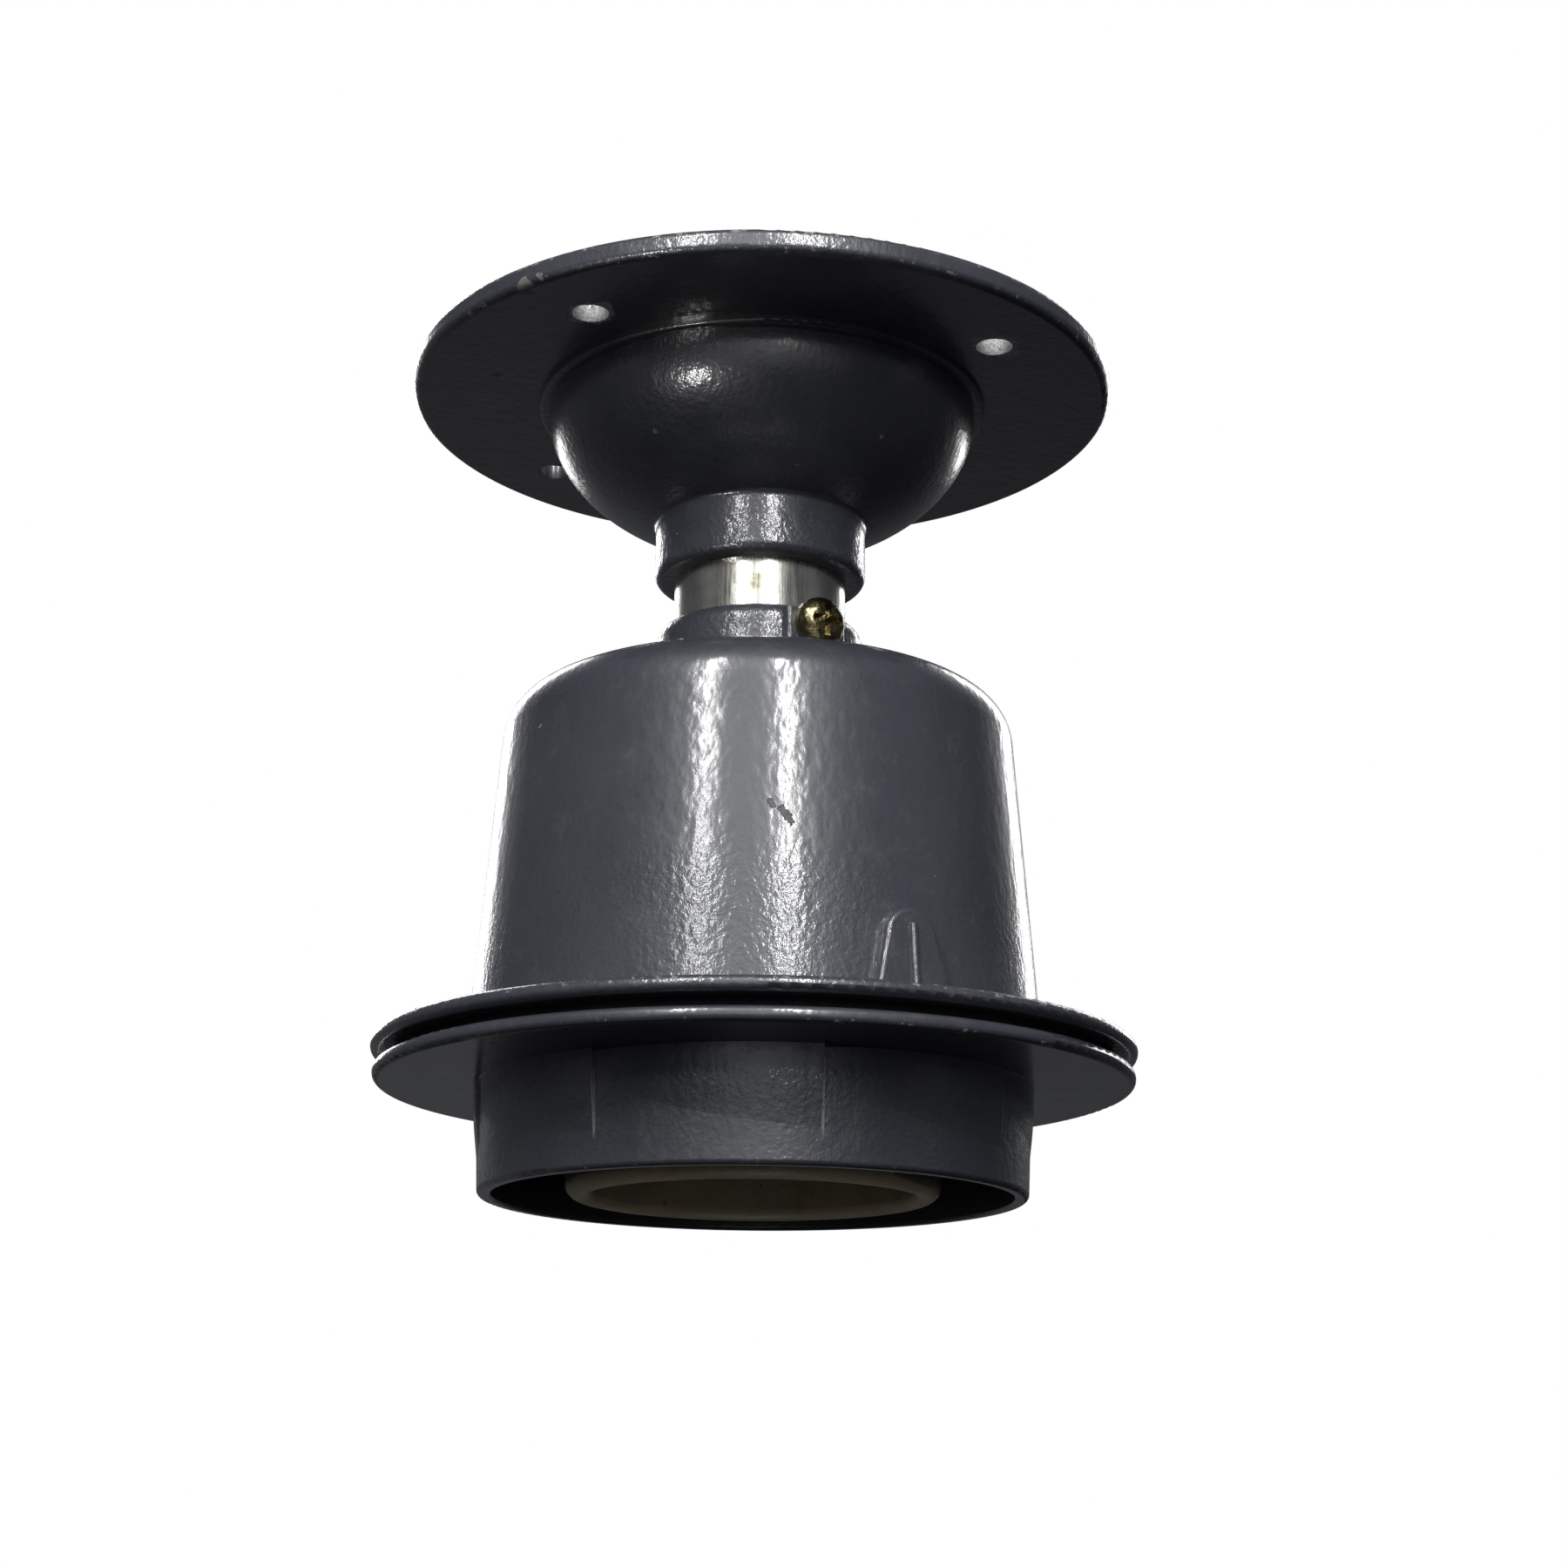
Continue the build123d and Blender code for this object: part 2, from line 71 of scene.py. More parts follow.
# Lights: bearing, lowest and highest elevation in degrees, width in metres, watts
light_distance = 1.3
object_middle = -80 * MM
tall_strips = (("strip_left", -22.5, 24.2, 52.0, 0.022, 9.0),
               ("strip_left_low", -22.5, 12.0, 24.0, 0.022, 1.6),
               ("strip_right", 12.6, 20.0, 52.0, 0.024, 11.0),
               ("strip_right_low", 12.6, 10.0, 20.0, 0.024, 1.4))
dome_lamp = ("dome_lamp", -36.0, -24.8, -20.6, 0.09, 4.4)

# A narrow lamp from below that reaches into the lampholder
mouth_lamp_place = (4 * MM, -40 * MM, -620 * MM)
mouth_lamp_size = 46 * MM
mouth_lamp_spread = radians(5.0)
mouth_lamp_power = 0.0016
mouth_height = -112 * MM

# Lamps behind the object, and dim fills at its sides that aren't mirrored in the coat
back_lamps = (("back_left", -152.0, 8.0, 42.0, 0.35, 5.0),
              ("back_right", 148.0, 8.0, 42.0, 0.30, 4.0))
side_fills = (("left_fill", -100.0, -12.0, 30.0, 1.2, 0.35),
              ("right_fill", 100.0, -12.0, 30.0, 1.2, 0.2))

# The room's soft front glow: bearing, elevation, sharpness and brightness
front_glow = (3.0, 13.0, 13.0, 0.80)
low_glow = (-4.0, -2.0, 34.0, 0.20)
room_glows = ((180.0, -20.0, 10.0, 0.045), (-120.0, -5.0, 4.0, 0.045), (-150.0, -26.0, 12.0, 0.05),
              (-72.0, 15.0, 34.0, 0.17), (74.0, 15.0, 34.0, 0.12))
glow_colour = (0.96, 0.98, 1.0, 1.0)

# The room's own dim colour, from straight below at 0 to straight above at 1
room_stops = ((0.0, (0.003, 0.003, 0.005)), (0.25, (0.008, 0.008, 0.012)),
              (0.36, (0.026, 0.026, 0.028)), (0.50, (0.040, 0.042, 0.047)),
              (0.75, (0.055, 0.058, 0.066)), (1.0, (0.10, 0.10, 0.11)))

# The stage
floor_height = -0.6
floor_size = 6
room_radius = 6
floor_white = (0.96, 0.96, 0.96)
room_white = (1.0, 1.0, 1.0)

# Bare and dark marks: bearing, radius, height, size, all in millimetres and degrees
canopy_bare = ((-36.0, 43.5, -3.0, 6.6), (-32.2, 44.4, -3.8, 2.6), (-40.4, 43.0, -3.8, 2.0),
               (54.0, 43.5, -3.0, 6.6), (58.2, 44.3, -3.8, 2.6), (49.8, 42.9, -3.8, 2.0))
canopy_chips = ((-38.5, 55.7, -3.6, 2.6), (-35.5, 55.9, -2.8, 1.5), (-39.5, 54.6, -3.8, 1.8),
                (-35.2, 28.0, -17.5, 0.95), (39.7, 28.5, -17.0, 0.9), (-69.1, 23.8, -20.5, 1.0),
                (68.1, 55.7, -3.2, 1.4), (-72.0, 43.5, -3.8, 1.5), (14.2, 22.0, -21.6, 0.6),
                (118.0, 55.6, -2.6, 1.8), (164.0, 55.5, -3.4, 1.4), (-141.0, 55.8, -1.9, 1.9),
                (95.0, 27.0, -18.2, 0.9), (-160.0, 30.0, -14.6, 1.1))
bell_chips = ((-53.1, 40.0, -64.1, 0.7), (-52.6, 40.1, -65.2, 0.5), (36.9, 42.0, -88.4, 0.5),
              (-1.7, 38.5, -59.6, 0.6), (150.0, 41.0, -80.0, 0.9), (-120.0, 41.5, -92.0, 0.8))
bell_dark = ((2.5, 40.95, -80.1, 0.85), (3.1, 40.95, -80.7, 0.8), (4.7, 41.0, -81.1, 1.0),
             (5.3, 41.0, -81.7, 1.1), (5.9, 41.0, -82.3, 1.1), (6.5, 41.05, -82.9, 0.9),
             (-2.6, 39.6, -59.0, 0.6), (-1.6, 39.5, -58.6, 0.6), (-0.6, 39.4, -58.2, 0.5))
ring_chips = ((-42.6, 52.5, -113.8, 0.8), (-38.0, 53.4, -113.8, 0.7), (-37.5, 50.7, -113.8, 0.6),
              (-51.1, 47.5, -113.8, 0.7), (-45.5, 50.5, -113.8, 0.5), (-33.0, 54.5, -113.8, 0.6),
              (126.0, 56.5, -112.5, 1.2), (-170.0, 56.6, -113.2, 1.0))
tube_stains = ((-4.0, 13.4, -37.6, 3.2), (3.0, 13.4, -38.3, 2.6), (-12.0, 13.4, -36.4, 2.0),
               (150.0, 13.4, -37.0, 3.0))

# The skirt's grips, the pitches of the cut threads, and the lamp shell's shape
grip_bearing = 13.0
grip_count = 8
skirt_radius = 41.3 * MM
ring_thread_pitch = 3.0 * MM
pipe_thread_pitch = 1.814 * MM
shell_pitch = 6.35 * MM
shell_mean_radius = 19.1 * MM
shell_wave = 0.85 * MM
shell_wall = 0.7 * MM
shell_flange_bore = 9.0 * MM
shell_end_length = 2.2 * MM
shell_columns = 120
shell_rows = 110


def bearing_point(bearing, radius, height):
    """A point at a bearing, a radius from the axis and a height."""
    angle = radians(bearing)
    return Vector((radius * sin(angle), -radius * cos(angle), height))


class Nodes:
    """A material's node tree with short calls to add and join nodes."""

    def __init__(self, name):
        self.material = bpy.data.materials.new(name)
        self.material.use_nodes = True
        self.tree = self.material.node_tree
        self.shader = self.tree.nodes["Principled BSDF"]
        self.where = self.add("ShaderNodeTexCoord").outputs["Object"]

    def add(self, kind, **values):
        node = self.tree.nodes.new(kind)
        for key, value in values.items():
            setattr(node, key, value)
        return node

    def join(self, source, target):
        self.tree.links.new(source, target)

    def set(self, **values):
        for key, value in values.items():
            self.shader.inputs[key.replace("_", " ")].default_value = value

    def feed(self, **sources):
        for key, source in sources.items():
            self.join(source, self.shader.inputs[key.replace("_", " ")])

    def noise(self, scale, detail=2.0, roughness=0.5, distortion=0.0, where=None, output="Fac"):
        node = self.add("ShaderNodeTexNoise")
        node.inputs["Scale"].default_value = scale
        node.inputs["Detail"].default_value = detail
        node.inputs["Roughness"].default_value = roughness
        node.inputs["Distortion"].default_value = distortion
        self.join(where or self.where, node.inputs["Vector"])
        return node.outputs[output]

    def cells(self, scale):
        node = self.add("ShaderNodeTexVoronoi")
        node.inputs["Scale"].default_value = scale
        self.join(self.where, node.inputs["Vector"])
        return node.outputs["Distance"]

    def stretched(self, x, y, z):
        node = self.add("ShaderNodeMapping")
        node.inputs["Scale"].default_value = (x, y, z)
        self.join(self.where, node.inputs["Vector"])
        return node.outputs["Vector"]

    def span(self, value, low, high, to_low=0.0, to_high=1.0):
        node = self.add("ShaderNodeMapRange")
        node.inputs["From Min"].default_value = low
        node.inputs["From Max"].default_value = high
        node.inputs["To Min"].default_value = to_low
        node.inputs["To Max"].default_value = to_high
        self.join(value, node.inputs["Value"])
        return node.outputs["Result"]

    def math(self, operation, a, b=None):
        node = self.add("ShaderNodeMath", operation=operation)
        for socket, value in zip(node.inputs, (a, b)):
            if value is None:
                continue
            if isinstance(value, (int, float)):
                socket.default_value = value
            else:
                self.join(value, socket)
        return node.outputs["Value"]

    def vector(self, operation, a, b, output="Vector"):
        node = self.add("ShaderNodeVectorMath", operation=operation)
        for socket, value in zip(node.inputs, (a, b)):
            if isinstance(value, bpy.types.NodeSocket):
                self.join(value, socket)
            else:
                socket.default_value = value
        return node.outputs[output]

    def split(self):
        node = self.add("ShaderNodeSeparateXYZ")
        self.join(self.where, node.inputs[0])
        return node.outputs

    def radius(self):
        x, y, _ = self.split()
        squares = self.math("ADD", self.math("MULTIPLY", x, x), self.math("MULTIPLY", y, y))
        return self.math("SQRT", squares)

    def mix(self, share, a, b):
        node = self.add("ShaderNodeMix", data_type="RGBA")
        for socket, value in ((node.inputs[0], share), (node.inputs[6], a), (node.inputs[7], b)):
            if isinstance(value, bpy.types.NodeSocket):
                self.join(value, socket)
            elif isinstance(value, (tuple, list)):
                socket.default_value = (*value, 1.0)
            else:
                socket.default_value = value
        return node.outputs[2]

    def bump(self, height, depth, below=None):
        node = self.add("ShaderNodeBump")
        node.inputs["Strength"].default_value = 1.0
        node.inputs["Distance"].default_value = depth
        self.join(height, node.inputs["Height"])
        if below is not None:
            self.join(below, node.inputs["Normal"])
        return node.outputs["Normal"]

    def ragged(self, amount=1.3 * MM, scale=700):
        """The place, pushed about by a fine noise, so that marks have torn edges."""
        push = self.vector("SUBTRACT", self.noise(scale, 3.0, 0.6, output="Color"), (0.5, 0.5, 0.5))
        return self.vector("ADD", self.where, self.vector("MULTIPLY", push, (2 * amount,) * 3))

    def marks(self, spots, where):
        """1 inside any of the marks and 0 outside them."""
        total = None
        for bearing, radius, height, size in spots:
            centre = bearing_point(bearing, radius * MM, height * MM)
            gap = self.vector("DISTANCE", where, tuple(centre), "Value")
            inside = self.span(gap, size * MM * 0.5, size * MM * 0.56, 1.0, 0.0)
            total = inside if total is None else self.math("MAXIMUM", total, inside)
        return total

    def both(self, *masks):
        """1 only where every mask is 1."""
        total = masks[0]
        for mask in masks[1:]:
            total = self.math("MULTIPLY", total, mask)
        return total

    def helix(self, pitch):
        """0 to 1 and back to 0 along a thread's turns."""
        x, y, z = self.split()
        turn = self.math("DIVIDE", self.math("ARCTAN2", y, x), tau)
        place = self.math("ADD", self.math("DIVIDE", z, pitch), turn)
        return self.math("PINGPONG", place, 0.5)


def enamel_colour(m, grain, blotch):
    """Slate grey in two shades, with pale grain, dust in patches and a few dark specks."""
    broad = m.noise(45, 3.0, 0.55)
    colour = m.mix(m.span(broad, 0.32, 0.68), (0.026, 0.028, 0.037), (0.036, 0.038, 0.049))
    colour = m.mix(m.span(grain, 0.35, 0.72, 0.0, 0.35), colour, (0.060, 0.063, 0.076))
    dust = m.both(m.span(blotch, 0.56, 0.74), m.span(m.noise(1100, 3.0, 0.7), 0.42, 0.66))
    colour = m.mix(m.math("MULTIPLY", dust, 0.16), colour, (0.20, 0.195, 0.18))
    specks = m.both(m.span(m.cells(330), 0.085, 0.06), m.span(m.noise(75, 1.0), 0.5, 0.56))
    return m.mix(m.math("MULTIPLY", specks, 0.30), colour, (0.010, 0.010, 0.012))


def grey_paint(name, chips, wear, sandy, bare=(), dark=(), thread=None, smooth=None):
    """Slate grey stoved enamel with an orange-peel skin, chipped down to the casting.

    wear(m) gives a mask of rubbed edges (on the ring it also holds painted highlight lines), and
    thread(m) a mask and a height of a cut thread.
    smooth(m) is 1 where the coat lies flat, and sandy(m) is 1 where it is coarse."""
    m = Nodes(name)
    peel = m.noise(640, 1.0, 0.4, where=m.stretched(1.0, 1.0, 0.62))
    small = m.noise(1500, 1.5, 0.5, where=m.stretched(1.0, 1.0, 0.7))
    grain = m.noise(4200, 1.0, 0.5)
    blotch = m.noise(190, 3.0, 0.6)
    scraped = m.noise(2400, 4.0, 0.65)
    place = m.ragged()
    colour = enamel_colour(m, grain, blotch)
    metal = m.marks(chips, place)
    colour = m.mix(metal, colour, m.mix(scraped, (0.09, 0.09, 0.092), (0.21, 0.21, 0.205)))
    # Pale edge marks: paint rubbed off the edges, and on the ring also a painted highlight down the
    # grips' steps.
    pale_edges = wear(m)
    colour = m.mix(pale_edges, colour, m.mix(scraped, (0.11, 0.11, 0.115), (0.30, 0.30, 0.30)))
    metal = m.math("MAXIMUM", metal, pale_edges)
    if bare:
        shiny = m.marks(bare, place)
        polish = m.mix(m.span(scraped, 0.34, 0.66), (0.20, 0.20, 0.205), (0.62, 0.62, 0.62))
        colour = m.mix(shiny, colour, polish)
        metal = m.math("MAXIMUM", metal, shiny)
    lost = metal
    if dark:
        pits = m.marks(dark, m.ragged(0.5 * MM, 1200))
        colour = m.mix(pits, colour, (0.004, 0.004, 0.005))
        lost = m.math("MAXIMUM", metal, pits)
    if smooth:
        even = m.span(smooth(m), 0.0, 1.0, 1.0, 0.12)
        peel = m.math("MULTIPLY", peel, even)
        small = m.math("MULTIPLY", small, even)
    skin = m.bump(peel, 0.062 * MM)
    skin = m.bump(small, 0.017 * MM, skin)
    skin = m.bump(grain, 0.0035 * MM, skin)
    coarse = m.math("MULTIPLY", m.noise(1250, 2.0, 0.55), sandy(m))
    skin = m.bump(coarse, 0.09 * MM, skin)
    skin = m.bump(m.math("SUBTRACT", 1.0, metal), 0.06 * MM, skin)
    skin = m.bump(m.math("MULTIPLY", scraped, metal), 0.05 * MM, skin)
    if dark:
        skin = m.bump(m.math("SUBTRACT", 1.0, pits), 0.10 * MM, skin)
    if thread:
        turns, height = thread(m)
        skin = m.bump(m.math("MULTIPLY", turns, height), 0.9 * MM, skin)
    rough = m.span(blotch, 0.3, 0.7, 0.40, 0.50)
    rough = m.math("MAXIMUM", rough, m.math("MULTIPLY", metal, 0.55))
    m.feed(Base_Color=colour, Roughness=rough, Normal=skin, Coat_Normal=skin)
    m.feed(Coat_Weight=m.math("SUBTRACT", 1.0, lost))
    m.set(Coat_Roughness=0.17, Coat_IOR=1.5)
    return m.material


def worn_ring(m, radius, height, depth, low, high):
    """Patchy wear where the surface lies within depth of a circular edge."""
    z = m.split()[2]
    near_radius = m.math("ABSOLUTE", m.math("SUBTRACT", m.radius(), radius * MM))
    near_height = m.math("ABSOLUTE", m.math("SUBTRACT", z, height * MM))
    furthest = m.math("MAXIMUM", near_radius, near_height)
    near = m.span(furthest, depth * MM * 0.6, depth * MM, 1.0, 0.0)
    torn = m.span(m.noise(520, 5.0, 0.68), low, high)
    return m.both(near, torn)


def canopy_wear(m):
    rim = worn_ring(m, 55.3, -3.5, 0.62, 0.60, 0.64)
    top = worn_ring(m, 55.2, -0.35, 0.70, 0.56, 0.61)
    collar = worn_ring(m, 16.2, -33.2, 0.6, 0.61, 0.65)
    return m.math("MAXIMUM", m.math("MAXIMUM", rim, top), collar)


def bell_wear(m):
    flange = worn_ring(m, 56.8, -108.0, 0.55, 0.58, 0.63)
    neck = worn_ring(m, 14.2, -41.6, 0.7, 0.55, 0.60)
    return m.math("MAXIMUM", flange, neck)


def crest_wear_and_painted_highlight(m):
    """Thin pale lines down the upright edges of the skirt's saw teeth: partly paint rubbed off, partly
    a painted highlight where the step faces catch the light.
    """
    x, y, z = m.split()
    bearing = m.math("ARCTAN2", x, m.math("MULTIPLY", y, -1.0))
    turned = m.math("SUBTRACT", bearing, radians(grip_bearing) - tau)
    across = m.math("MULTIPLY", m.math("PINGPONG", turned, radians(180.0 / grip_count)), skirt_radius)
    line = m.span(across, 0.12 * MM, 0.26 * MM, 1.0, 0.0)
    tall = m.both(m.span(z, -126.2 * MM, -124.8 * MM), m.span(z, -115.0 * MM, -117.0 * MM))
    patchy = m.span(m.noise(300, 4.0, 0.6), 0.34, 0.50)
    outside = m.span(m.radius(), 39.6 * MM, 39.8 * MM)
    return m.both(line, tall, patchy, outside)


def ring_wear_and_painted_highlight(m):
    flange = worn_ring(m, 56.4, -113.6, 0.5, 0.60, 0.65)
    mouth = worn_ring(m, 40.5, -130.0, 0.45, 0.62, 0.67)
    # Rubbed paint at the flange and mouth, plus the grips' lines, which are partly a painted
    # highlight.
    return m.math("MAXIMUM", m.math("MAXIMUM", flange, mouth), crest_wear_and_painted_highlight(m))


def bell_sand(m):
    """The lower third of the wall and the neck, where the coat is coarse."""
    z = m.split()[2]
    edge = m.math("ADD", z, m.math("MULTIPLY", m.noise(60, 3.0), 14 * MM))
    wall = m.span(edge, -84 * MM, -76 * MM, 0.85, 0.0)
    neck = m.span(z, -53.0 * MM, -51.5 * MM, 0.0, 1.4)
    return m.math("MAXIMUM", wall, neck)


def canopy_sand(m):
    """Coarse on the collar and around the rim, finer on the dome, flat under the plate."""
    z = m.split()[2]
    collar = m.span(z, -26.5 * MM, -28.0 * MM, 0.0, 1.5)
    rim = m.span(m.radius(), 54.3 * MM, 55.2 * MM, 0.0, 0.9)
    dome = m.both(m.span(z, -4.2 * MM, -5.0 * MM), m.span(m.noise(70, 2.0), 0.3, 0.6, 0.60, 0.95))
    return m.math("MAXIMUM", m.math("MAXIMUM", collar, rim), dome)


def skirt_sand(m):
    z = m.split()[2]
    return m.both(m.span(z, -116 * MM, -118 * MM), m.span(m.noise(90, 2.0), 0.3, 0.6, 0.4, 1.0))


def ring_underside(m):
    """The turned underside of the ring's flange, where the coat lies flat."""
    low = m.span(m.split()[2], -113.5 * MM, -113.7 * MM)
    return m.both(low, m.span(m.radius(), 42.2 * MM, 42.8 * MM))


def ring_neck_thread(m):
    z = m.split()[2]
    turns = m.both(m.span(z, -111.4 * MM, -111.2 * MM), m.span(m.radius(), 38.4 * MM, 38.6 * MM),
                   m.span(m.radius(), 40.2 * MM, 40.4 * MM, 1.0, 0.0))
    return turns, m.helix(ring_thread_pitch)


def canopy_paint():
    return grey_paint("canopy_enamel", canopy_chips, canopy_wear, canopy_sand, bare=canopy_bare)


def bell_paint():
    return grey_paint("bell_enamel", bell_chips, bell_wear, bell_sand, dark=bell_dark)


def ring_paint():
    # The ring's pale edge marks include a painted highlight down the grips' step edges.
    return grey_paint("ring_enamel", ring_chips, ring_wear_and_painted_highlight, skirt_sand, thread=ring_neck_thread,
                      smooth=ring_underside)


def tube_metal():
    """Bright drawn steel with fine length scratches, a brown stain and cut threads at both ends."""
    m = Nodes("drawn_steel")
    x, y, z = m.split()
    fine = m.noise(900, 4.0, 0.6, where=m.stretched(3.0, 3.0, 0.12))
    around = m.noise(1300, 3.0, 0.6, where=m.stretched(0.25, 0.25, 3.0))
    clouds = m.noise(260, 4.0, 0.6)
    colour = m.mix(m.span(clouds, 0.35, 0.7), (0.70, 0.69, 0.64), (0.52, 0.51, 0.46))
    stain_place = m.ragged(2.6 * MM, 380)
    stain = m.marks(tube_stains, stain_place)
    stain = m.both(stain, m.span(m.noise(1100, 4.0, 0.65), 0.35, 0.62, 0.15, 0.75))
    colour = m.mix(stain, colour, (0.26, 0.23, 0.10))
    tarnish = m.span(m.noise(150, 5.0, 0.65, 0.4), 0.56, 0.72)
    colour = m.mix(m.math("MULTIPLY", tarnish, 0.5), colour, (0.36, 0.33, 0.22))
    upper = m.span(z, -19.0 * MM, -18.6 * MM)
    lower = m.span(z, -53.6 * MM, -53.2 * MM, 1.0, 0.0)
    turns = m.math("MAXIMUM", upper, lower)
    height = m.math("MULTIPLY", turns, m.helix(pipe_thread_pitch))
    rough = m.span(fine, 0.3, 0.7, 0.18, 0.34)
    rough = m.math("ADD", rough, m.math("MULTIPLY", tarnish, 0.15))
    skin = m.bump(fine, 0.010 * MM)
    skin = m.bump(around, 0.004 * MM, skin)
    skin = m.bump(clouds, 0.06 * MM, skin)
    skin = m.bump(height, 1.1 * MM, skin)
    m.feed(Base_Color=colour, Roughness=rough, Normal=skin)
    m.set(Metallic=1.0)
    return m.material


def plated(name, pale, deep, rough_low, rough_high):
    """Plated steel or brass: cloudy passivation and fine scratches."""
    m = Nodes(name)
    clouds = m.noise(260, 4.0, 0.6, 0.3)
    fine = m.noise(2600, 3.0, 0.6)
    scratches = m.noise(1500, 4.0, 0.7, where=m.stretched(0.15, 2.2, 1.4))
    colour = m.mix(m.span(clouds, 0.35, 0.68, 0.0, 0.6), pale, deep)
    bright = tuple(min(1.0, channel * 1.25) for channel in pale)
    colour = m.mix(m.span(scratches, 0.60, 0.72, 0.0, 0.5), colour, bright)
    rough = m.span(clouds, 0.3, 0.7, rough_low, rough_high)
    skin = m.bump(scratches, 0.010 * MM)
    skin = m.bump(fine, 0.010 * MM, skin)
    m.feed(Base_Color=colour, Roughness=rough, Normal=skin)
    m.set(Metallic=1.0)
    return m.material


def gilt_zinc():
    """Yellow passivated zinc, olive in patches, on a stamped screw."""
    m = Nodes("gilt_zinc")
    clouds = m.noise(520, 3.0, 0.6, 0.8)
    fine = m.noise(1800, 3.0, 0.65)
    colour = m.mix(m.span(clouds, 0.38, 0.62), (0.34, 0.29, 0.15), (0.11, 0.10, 0.05))
    colour = m.mix(m.span(fine, 0.62, 0.70, 0.0, 0.7), colour, (0.70, 0.68, 0.50))
    rough = m.span(clouds, 0.3, 0.7, 0.14, 0.30)
    skin = m.bump(clouds, 0.25 * MM)
    skin = m.bump(fine, 0.05 * MM, skin)
    m.feed(Base_Color=colour, Roughness=rough, Normal=skin)
    m.set(Metallic=1.0)
    return m.material


def porcelain():
    """Matt fired steatite: a dark warm grey-beige in cloudy shades, with pale flecks and dark specks.
    """
    m = Nodes("fired_porcelain")
    clouds = m.noise(85, 4.0, 0.6)
    fine = m.noise(1500, 4.0, 0.65)
    colour = m.mix(m.span(clouds, 0.35, 0.7), (0.27, 0.225, 0.145), (0.19, 0.158, 0.10))
    colour = m.mix(m.span(fine, 0.50, 0.75, 0.0, 0.4), colour, (0.36, 0.31, 0.22))
    specks = m.span(m.cells(260), 0.10, 0.07)
    colour = m.mix(m.math("MULTIPLY", specks, 0.6), colour, (0.06, 0.045, 0.03))
    rough = m.span(fine, 0.3, 0.7, 0.42, 0.62)
    skin = m.bump(m.noise(330, 3.0, 0.55), 0.20 * MM)
    skin = m.bump(fine, 0.03 * MM, skin)
    m.feed(Base_Color=colour, Roughness=rough, Normal=skin)
    return m.material


def rubber():
    """Black moulded rubber with bloom and fine pores."""
    m = Nodes("moulded_rubber")
    bloom = m.noise(120, 5.0, 0.6)
    pores = m.noise(2200, 3.0, 0.6)
    colour = m.mix(m.span(bloom, 0.45, 0.75), (0.004, 0.004, 0.0045), (0.012, 0.012, 0.013))
    rough = m.span(pores, 0.3, 0.7, 0.62, 0.85)
    skin = m.bump(pores, 0.03 * MM)
    m.feed(Base_Color=colour, Roughness=rough, Normal=skin)
    m.set(Specular_IOR_Level=0.15)
    return m.material


slot_makers = {
    "tube_steel": tube_metal,
    "zinc_steel": lambda: plated("zinc_plate", (0.66, 0.67, 0.69), (0.42, 0.43, 0.44), 0.22, 0.42),
    "gilt_screw": gilt_zinc,
    "gasket_rubber": rubber,
    "porcelain": porcelain,
    "brass": lambda: plated("sawn_brass", (0.80, 0.60, 0.27), (0.52, 0.36, 0.15), 0.20, 0.42),
    "nickel_shell": lambda: plated("nickel_plate", (0.68, 0.64, 0.55), (0.45, 0.41, 0.33), 0.14, 0.34),
    "spring_steel": lambda: plated("spring_wire", (0.56, 0.56, 0.58), (0.30, 0.29, 0.28), 0.18, 0.36),
}
node_makers = {"ceiling_canopy": canopy_paint, "bell_housing": bell_paint, "press_ring": ring_paint}


def dress_cad_nodes():
    made = {slot: make() for slot, make in slot_makers.items()}
    for entry in frame["record"]["subparts"]:
        name = entry["node"]
        node = frame["nodes"][name]
        node.data.materials.clear()
        own = node_makers.get(name)
        node.data.materials.append(own() if own else made[entry["material_slot"]])


def shell_radius(angle, height, low, high):
    """The rolled thread's inner radius: a helix that fades to a plain edge at both ends."""
    fade = min(1.0, (height - low) / shell_end_length, (high - height) / shell_end_length)
    return shell_mean_radius + shell_wave * max(0.0, fade) * sin(tau * height / shell_pitch - angle)


def add_lamp_shell():
    """The lampholder's rolled screw shell, with its thread as a true helix and an inward flange."""
    box_low, box_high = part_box("screw_shell")
    low, high = box_low[2], box_high[2]
    floor = high - 1.0 * MM
    work = bmesh.new()
    heights = [low + (floor - low) * row / shell_rows for row in range(shell_rows + 1)]
    rings = []
    for column in range(shell_columns):
        angle = tau * column / shell_columns
        outline = [(shell_radius(angle, z, low, floor), z) for z in heights]
        outline += [(shell_flange_bore, floor), (shell_flange_bore, high),
                    (shell_mean_radius + shell_wall, high)]
        outline += [(shell_radius(angle, z, low, floor) + shell_wall, z) for z in reversed(heights)]
        rings.append([work.verts.new((r * cos(angle), r * sin(angle), z)) for r, z in outline])
    corners = {0, shell_rows, shell_rows + 1, shell_rows + 2, shell_rows + 3, len(rings[0]) - 1}
    for column in range(shell_columns):
        here, after = rings[column], rings[(column + 1) % shell_columns]
        for index in range(len(here)):
            further = (index + 1) % len(here)
            face = work.faces.new((here[index], here[further], after[further], after[index]))
            face.smooth = True
        for index in corners:
            work.edges.get((here[index], after[index])).smooth = False
    bmesh.ops.recalc_face_normals(work, faces=work.faces)
    mesh = bpy.data.meshes.new("lamp_shell")
    work.to_mesh(mesh)
    work.free()
    shell = bpy.data.objects.new("lamp_shell", mesh)
    bpy.context.scene.collection.objects.link(shell)
    shell.data.materials.append(slot_makers["nickel_shell"]())
    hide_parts("screw_shell")
    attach(shell, "head")


def add_contact_coil():
    """The centre contact's spring, which in the real lampholder shortens as the contact is pushed in;
    here a plain copy of its mesh.
    """
    node = frame["nodes"]["contact_spring"]
    coil = bpy.data.objects.new("contact_coil", node.data.copy())
    bpy.context.scene.collection.objects.link(coil)
    coil.matrix_world = node.matrix_world.copy()
    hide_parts("contact_spring")
    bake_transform(coil)


